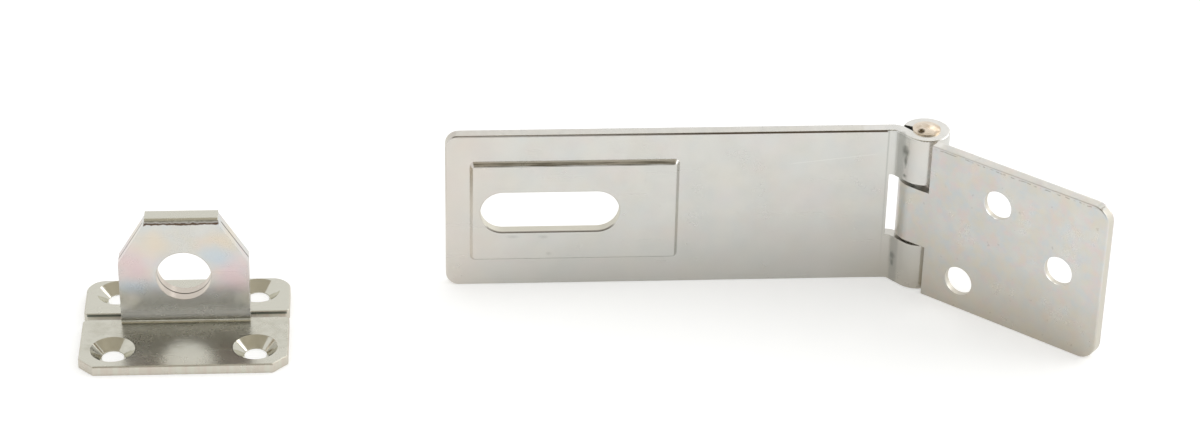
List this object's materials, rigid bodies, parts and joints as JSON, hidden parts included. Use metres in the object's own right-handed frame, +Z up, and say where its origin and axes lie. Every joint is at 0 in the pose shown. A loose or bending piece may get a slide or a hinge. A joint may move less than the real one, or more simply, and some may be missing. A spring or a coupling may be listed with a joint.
{
  "type": "hinged hasp",
  "caption": "Pressed-steel hinged hasp: a slotted strap with rolled knuckles on a pin, its screw-down leaf, and a separate folded-sheet staple with a padlock eye.",
  "frame": {"origin": "centre of the underside of the whole set's bounding box: the strap and leaf stand on their long edges and the staple on its base", "axes": "+Z up, along the hinge pin and normal to the staple's base; +X along the strap from its free end to the hinge; -Y is the side with the strap's raised pad"},
  "size_m": [0.219, 0.0408, 0.0389],
  "materials": {
    "zinc_plate": "bright zinc plate with a clear blue passivate, half gloss",
    "pin_steel": "plated steel pin with its end peened bare"
  },
  "bodies": {
    "fixed_leaf": {"fixed_leaf": "zinc_plate", "staple": "zinc_plate"},
    "strap": {"strap": "zinc_plate", "hinge_pin": "pin_steel"}
  },
  "joints": [
    {"name": "strap_hinge", "type": "hinge", "parent": "fixed_leaf", "child": "strap", "pos_m": [0.07432, 0.01509, 0.019], "axis": [0, 0, 1], "range_deg": [-220.5, 85]}
  ]
}
